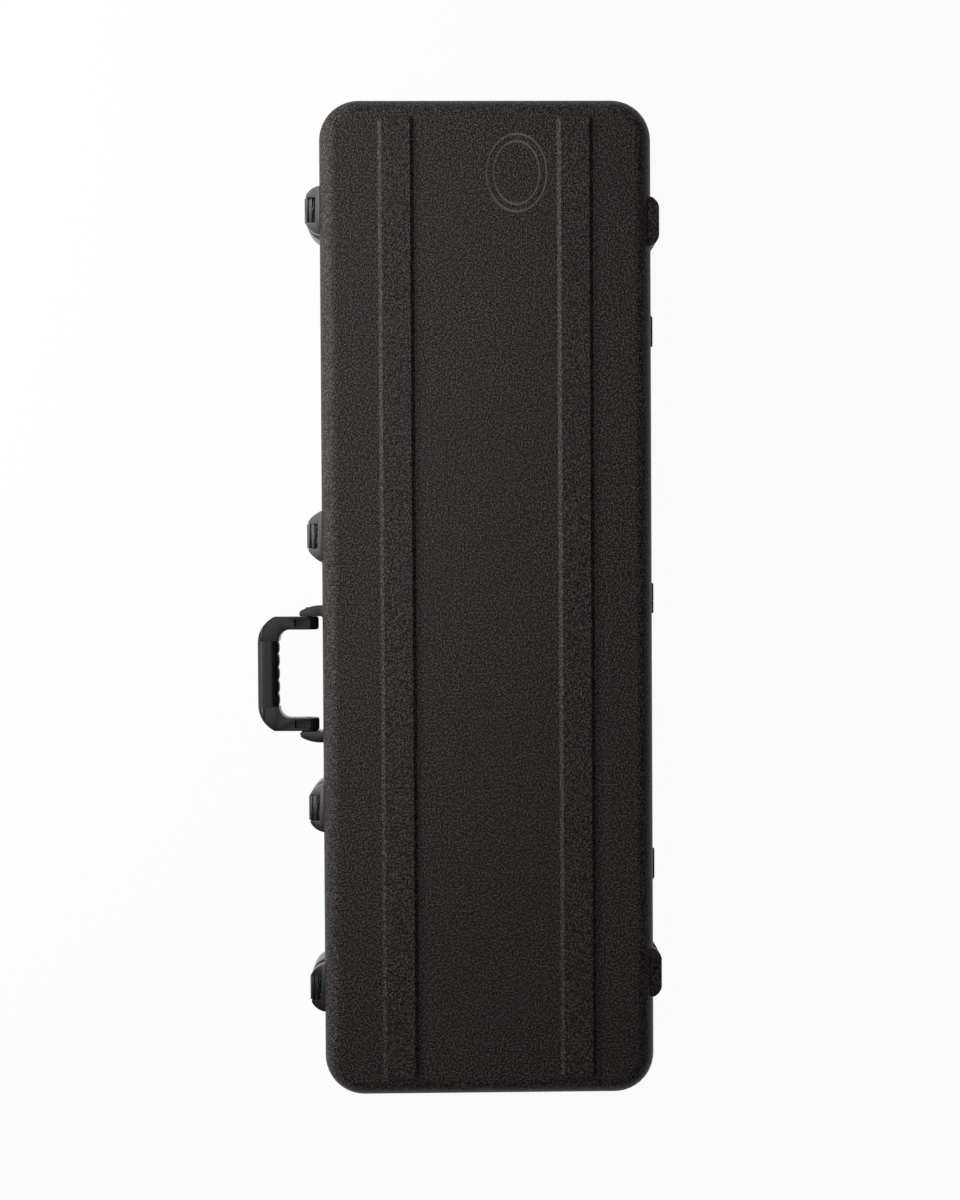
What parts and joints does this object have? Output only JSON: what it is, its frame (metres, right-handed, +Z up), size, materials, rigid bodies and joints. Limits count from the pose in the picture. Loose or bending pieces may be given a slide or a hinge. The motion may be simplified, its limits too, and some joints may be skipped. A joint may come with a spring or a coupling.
{
  "type": "bass guitar case",
  "caption": "Long rectangular hard case for a bass guitar: ribbed black moulded shells, a lid hinged along the spine, lever latches and a folding side handle, padded inside.",
  "frame": {"origin": "middle of the bounding box at the level of the bottom ribs' faces, which the closed case rests on", "axes": "+Y along the case towards its neck end, +X towards the hinged spine, +Z up through the lid"},
  "size_m": [0.514, 1.257, 0.125],
  "materials": {
    "shell_abs": "fine leather grain",
    "rim_aluminium": "black anodised",
    "zinc_steel": "black zinc plated",
    "black_nylon": "satin moulded",
    "soft_grip": "matt",
    "plush_foam": "short plush"
  },
  "bodies": {
    "base": {"accessory_box": "plush_foam", "base_rim": "rim_aluminium", "base_shell": "shell_abs", "floor_pad": "plush_foam", "foam_body_end": "plush_foam", "foam_body_rear": "plush_foam", "foam_front": "plush_foam", "foam_head_end": "plush_foam", "foam_head_rear": "plush_foam", "handle_backing_plate": "zinc_steel", "handle_bracket_lower": "black_nylon", "handle_bracket_upper": "black_nylon", "handle_pins": "zinc_steel", "handle_screws": "zinc_steel", "hinge_base_leaf_bottom": "zinc_steel", "hinge_base_leaf_middle": "zinc_steel", "hinge_base_leaf_top": "zinc_steel", "hinge_base_rivets": "zinc_steel", "hinge_pin_bottom": "zinc_steel", "hinge_pin_middle": "zinc_steel", "hinge_pin_top": "zinc_steel", "latch_housing_1": "black_nylon", "latch_housing_2": "black_nylon", "latch_housing_3": "black_nylon", "latch_housing_4": "black_nylon", "latch_housing_rivets": "zinc_steel", "latch_pin_1": "zinc_steel", "latch_pin_2": "zinc_steel", "latch_pin_3": "zinc_steel", "latch_pin_4": "zinc_steel", "neck_cradle": "plush_foam"},
    "lid": {"hinge_lid_leaf_bottom": "zinc_steel", "hinge_lid_leaf_middle": "zinc_steel", "hinge_lid_leaf_top": "zinc_steel", "hinge_lid_rivets": "zinc_steel", "latch_keeper_1": "black_nylon", "latch_keeper_2": "black_nylon", "latch_keeper_3": "black_nylon", "latch_keeper_4": "black_nylon", "latch_keeper_rivets": "zinc_steel", "lid_pad": "plush_foam", "lid_rim": "rim_aluminium", "lid_shell": "shell_abs"},
    "latch_1": {"latch_lever_1": "black_nylon"},
    "latch_2": {"latch_lever_2": "black_nylon"},
    "latch_3": {"latch_lever_3": "black_nylon"},
    "latch_4": {"latch_lever_4": "black_nylon"},
    "handle": {"handle_core": "black_nylon", "handle_grip": "soft_grip"}
  },
  "joints": [
    {"name": "lid_hinge", "type": "hinge", "parent": "base", "child": "lid", "pos_m": [0.2492, 0, 0.084], "axis": [0, 1, 0], "range_deg": [0, 100]},
    {"name": "handle_swing", "type": "hinge", "parent": "base", "child": "handle", "pos_m": [-0.191, -0.0947, 0.0665], "axis": [0, 1, 0], "range_deg": [-90, 90]},
    {"name": "latch_1_lever", "type": "hinge", "parent": "base", "child": "latch_1", "pos_m": [-0.182, 0.492, 0.046], "axis": [0, -1, 0], "range_deg": [0, 80]},
    {"name": "latch_2_lever", "type": "hinge", "parent": "base", "child": "latch_2", "pos_m": [-0.182, 0.081, 0.046], "axis": [0, -1, 0], "range_deg": [0, 80]},
    {"name": "latch_3_lever", "type": "hinge", "parent": "base", "child": "latch_3", "pos_m": [-0.182, -0.264, 0.046], "axis": [0, -1, 0], "range_deg": [0, 80]},
    {"name": "latch_4_lever", "type": "hinge", "parent": "base", "child": "latch_4", "pos_m": [-0.182, -0.493, 0.046], "axis": [0, -1, 0], "range_deg": [0, 80]}
  ]
}
